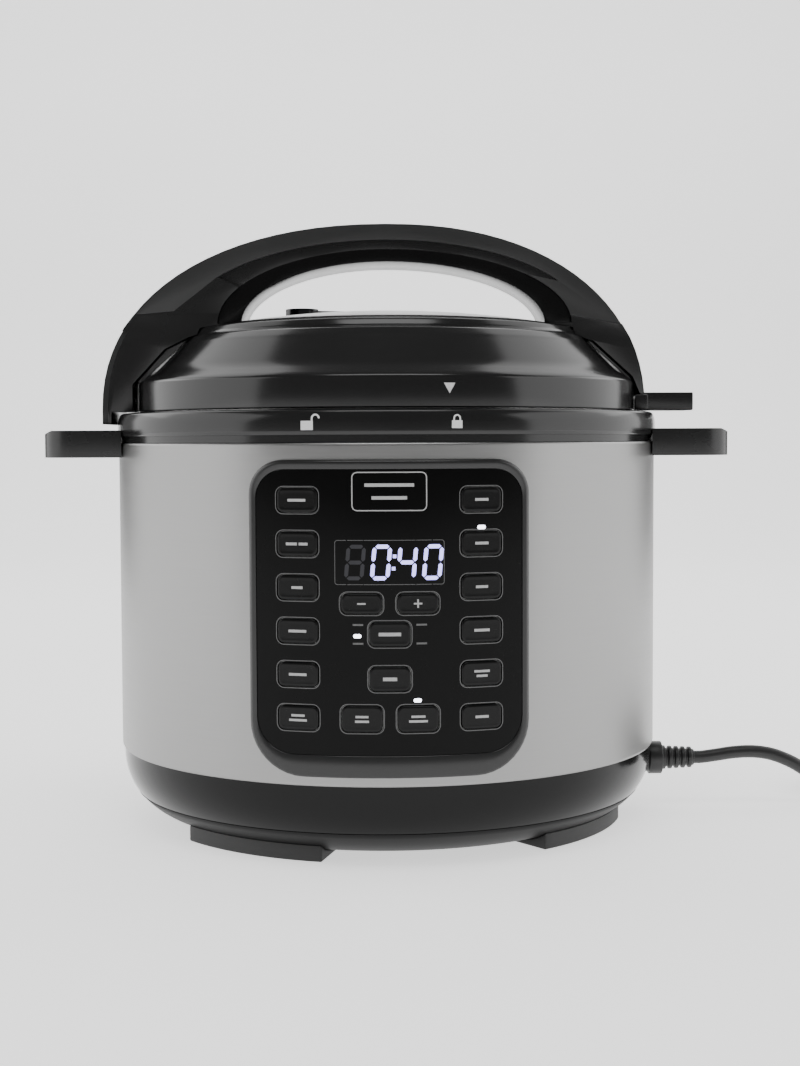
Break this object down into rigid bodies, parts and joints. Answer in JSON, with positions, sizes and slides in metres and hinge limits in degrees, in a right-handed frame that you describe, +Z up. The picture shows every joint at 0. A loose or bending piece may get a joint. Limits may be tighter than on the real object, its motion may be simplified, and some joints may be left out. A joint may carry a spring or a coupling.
{
  "type": "electric pressure cooker",
  "caption": "Electric pressure cooker: round steel body on a black base, bayonet lid with an arched handle, curved key panel, side handles and mains lead.",
  "frame": {"origin": "on the table under the body's axis, level with the undersides of the feet", "axes": "+Z up along the body's axis, -Y through the middle of the control panel, +X towards the mains lead"},
  "size_m": [0.4866, 0.2782, 0.29],
  "materials": {
    "steel_shell": "fine brushed",
    "pot_steel": "satin",
    "gloss_black": "polished",
    "satin_black": "fine grain",
    "foot_rubber": "matte",
    "silicone": "matte",
    "plate_aluminium": "turned",
    "screw_steel": "zinc plated",
    "board": "solder mask",
    "switch_body": "moulded",
    "light_guide": "clear diffused",
    "float_red": "moulded",
    "cord_rubber": "matte",
    "fuse_sleeve": "woven sleeve"
  },
  "bodies": {
    "cooker": {"base_housing": "gloss_black", "bottom_cover": "satin_black", "feet": "foot_rubber", "outer_shell": "steel_shell", "top_rim": "gloss_black", "outer_pot": "pot_steel", "side_handle_left": "satin_black", "side_handle_right": "satin_black", "body_screws": "screw_steel", "heating_plate": "plate_aluminium", "heating_element": "pot_steel", "thermostat_spring": "screw_steel", "pressure_switch": "switch_body", "thermal_fuse": "fuse_sleeve", "power_board": "board", "inner_pot": "pot_steel", "panel_frame": "gloss_black", "panel_lens": "gloss_black", "control_board": "board", "display_module": "gloss_black", "indicator_lights": "light_guide", "strain_relief": "cord_rubber", "power_cord": "cord_rubber", "cord_coil": "cord_rubber", "cord_tie": "satin_black", "plug": "cord_rubber"},
    "seal": {"sealing_ring": "silicone"},
    "lid": {"inner_lid": "pot_steel", "ring_rack": "pot_steel", "steam_shield": "pot_steel", "lid_cover": "gloss_black", "steam_pipe": "pot_steel", "float_seal": "silicone", "handle_body": "satin_black", "handle_cover": "satin_black", "handle_liner": "gloss_black", "handle_end_cover": "satin_black", "lid_stand_fin": "satin_black", "lid_screws": "screw_steel"},
    "release_valve": {"release_valve": "gloss_black"},
    "float_valve": {"float_valve": "float_red"},
    "thermostat": {"thermostat_plunger": "plate_aluminium"},
    "key_left_1_body": {"key_left_1": "gloss_black"},
    "key_left_2_body": {"key_left_2": "gloss_black"},
    "key_left_3_body": {"key_left_3": "gloss_black"},
    "key_left_4_body": {"key_left_4": "gloss_black"},
    "key_left_5_body": {"key_left_5": "gloss_black"},
    "key_left_6_body": {"key_left_6": "gloss_black"},
    "key_right_1_body": {"key_right_1": "gloss_black"},
    "key_right_2_body": {"key_right_2": "gloss_black"},
    "key_right_3_body": {"key_right_3": "gloss_black"},
    "key_right_4_body": {"key_right_4": "gloss_black"},
    "key_right_5_body": {"key_right_5": "gloss_black"},
    "key_right_6_body": {"key_right_6": "gloss_black"},
    "key_minus_body": {"key_minus": "gloss_black"},
    "key_plus_body": {"key_plus": "gloss_black"},
    "key_pressure_body": {"key_pressure": "gloss_black"},
    "key_temperature_body": {"key_temperature": "gloss_black"},
    "key_delay_body": {"key_delay": "gloss_black"},
    "key_start_body": {"key_start": "gloss_black"}
  },
  "joints": [
    {"name": "lid_lift", "type": "slide", "parent": "cooker", "child": "seal", "axis": [0, 0, 1], "range_m": [0, 0.15]},
    {"name": "lid_turn", "type": "hinge", "parent": "seal", "child": "lid", "pos_m": [0, 0, 0.2], "axis": [0, 0, 1], "range_deg": [-28, 0]},
    {"name": "valve_turn", "type": "hinge", "parent": "lid", "child": "release_valve", "pos_m": [-0.043, 0.027, 0.25], "axis": [0, 0, 1], "range_deg": [0, 50]},
    {"name": "float_rise", "type": "slide", "parent": "lid", "child": "float_valve", "axis": [0, 0, 1], "range_m": [0, 0.004]},
    {"name": "thermostat_press", "type": "slide", "parent": "cooker", "child": "thermostat", "axis": [0, 0, 1], "range_m": [-0.0015, 0], "stiffness_N_per_m": 500, "deforming": ["thermostat_spring"]},
    {"name": "key_left_1_press", "type": "slide", "parent": "cooker", "child": "key_left_1_body", "axis": [0.2921, 0.9564, 0], "range_m": [0, 0.0006], "stiffness_N_per_m": 300},
    {"name": "key_left_2_press", "type": "slide", "parent": "cooker", "child": "key_left_2_body", "axis": [0.2921, 0.9564, 0], "range_m": [0, 0.0006], "stiffness_N_per_m": 300},
    {"name": "key_left_3_press", "type": "slide", "parent": "cooker", "child": "key_left_3_body", "axis": [0.2921, 0.9564, 0], "range_m": [0, 0.0006], "stiffness_N_per_m": 300},
    {"name": "key_left_4_press", "type": "slide", "parent": "cooker", "child": "key_left_4_body", "axis": [0.2921, 0.9564, 0], "range_m": [0, 0.0006], "stiffness_N_per_m": 300},
    {"name": "key_left_5_press", "type": "slide", "parent": "cooker", "child": "key_left_5_body", "axis": [0.2921, 0.9564, 0], "range_m": [0, 0.0006], "stiffness_N_per_m": 300},
    {"name": "key_left_6_press", "type": "slide", "parent": "cooker", "child": "key_left_6_body", "axis": [0.2921, 0.9564, 0], "range_m": [0, 0.0006], "stiffness_N_per_m": 300},
    {"name": "key_right_1_press", "type": "slide", "parent": "cooker", "child": "key_right_1_body", "axis": [-0.2921, 0.9564, 0], "range_m": [0, 0.0006], "stiffness_N_per_m": 300},
    {"name": "key_right_2_press", "type": "slide", "parent": "cooker", "child": "key_right_2_body", "axis": [-0.2921, 0.9564, 0], "range_m": [0, 0.0006], "stiffness_N_per_m": 300},
    {"name": "key_right_3_press", "type": "slide", "parent": "cooker", "child": "key_right_3_body", "axis": [-0.2921, 0.9564, 0], "range_m": [0, 0.0006], "stiffness_N_per_m": 300},
    {"name": "key_right_4_press", "type": "slide", "parent": "cooker", "child": "key_right_4_body", "axis": [-0.2921, 0.9564, 0], "range_m": [0, 0.0006], "stiffness_N_per_m": 300},
    {"name": "key_right_5_press", "type": "slide", "parent": "cooker", "child": "key_right_5_body", "axis": [-0.2921, 0.9564, 0], "range_m": [0, 0.0006], "stiffness_N_per_m": 300},
    {"name": "key_right_6_press", "type": "slide", "parent": "cooker", "child": "key_right_6_body", "axis": [-0.2921, 0.9564, 0], "range_m": [0, 0.0006], "stiffness_N_per_m": 300},
    {"name": "key_minus_press", "type": "slide", "parent": "cooker", "child": "key_minus_body", "axis": [0.089, 0.996, 0], "range_m": [0, 0.0006], "stiffness_N_per_m": 300},
    {"name": "key_plus_press", "type": "slide", "parent": "cooker", "child": "key_plus_body", "axis": [-0.089, 0.996, 0], "range_m": [0, 0.0006], "stiffness_N_per_m": 300},
    {"name": "key_pressure_press", "type": "slide", "parent": "cooker", "child": "key_pressure_body", "axis": [0, 1, 0], "range_m": [0, 0.0006], "stiffness_N_per_m": 300},
    {"name": "key_temperature_press", "type": "slide", "parent": "cooker", "child": "key_temperature_body", "axis": [0, 1, 0], "range_m": [0, 0.0006], "stiffness_N_per_m": 300},
    {"name": "key_delay_press", "type": "slide", "parent": "cooker", "child": "key_delay_body", "axis": [0.089, 0.996, 0], "range_m": [0, 0.0006], "stiffness_N_per_m": 300},
    {"name": "key_start_press", "type": "slide", "parent": "cooker", "child": "key_start_body", "axis": [-0.089, 0.996, 0], "range_m": [0, 0.0006], "stiffness_N_per_m": 300}
  ]
}
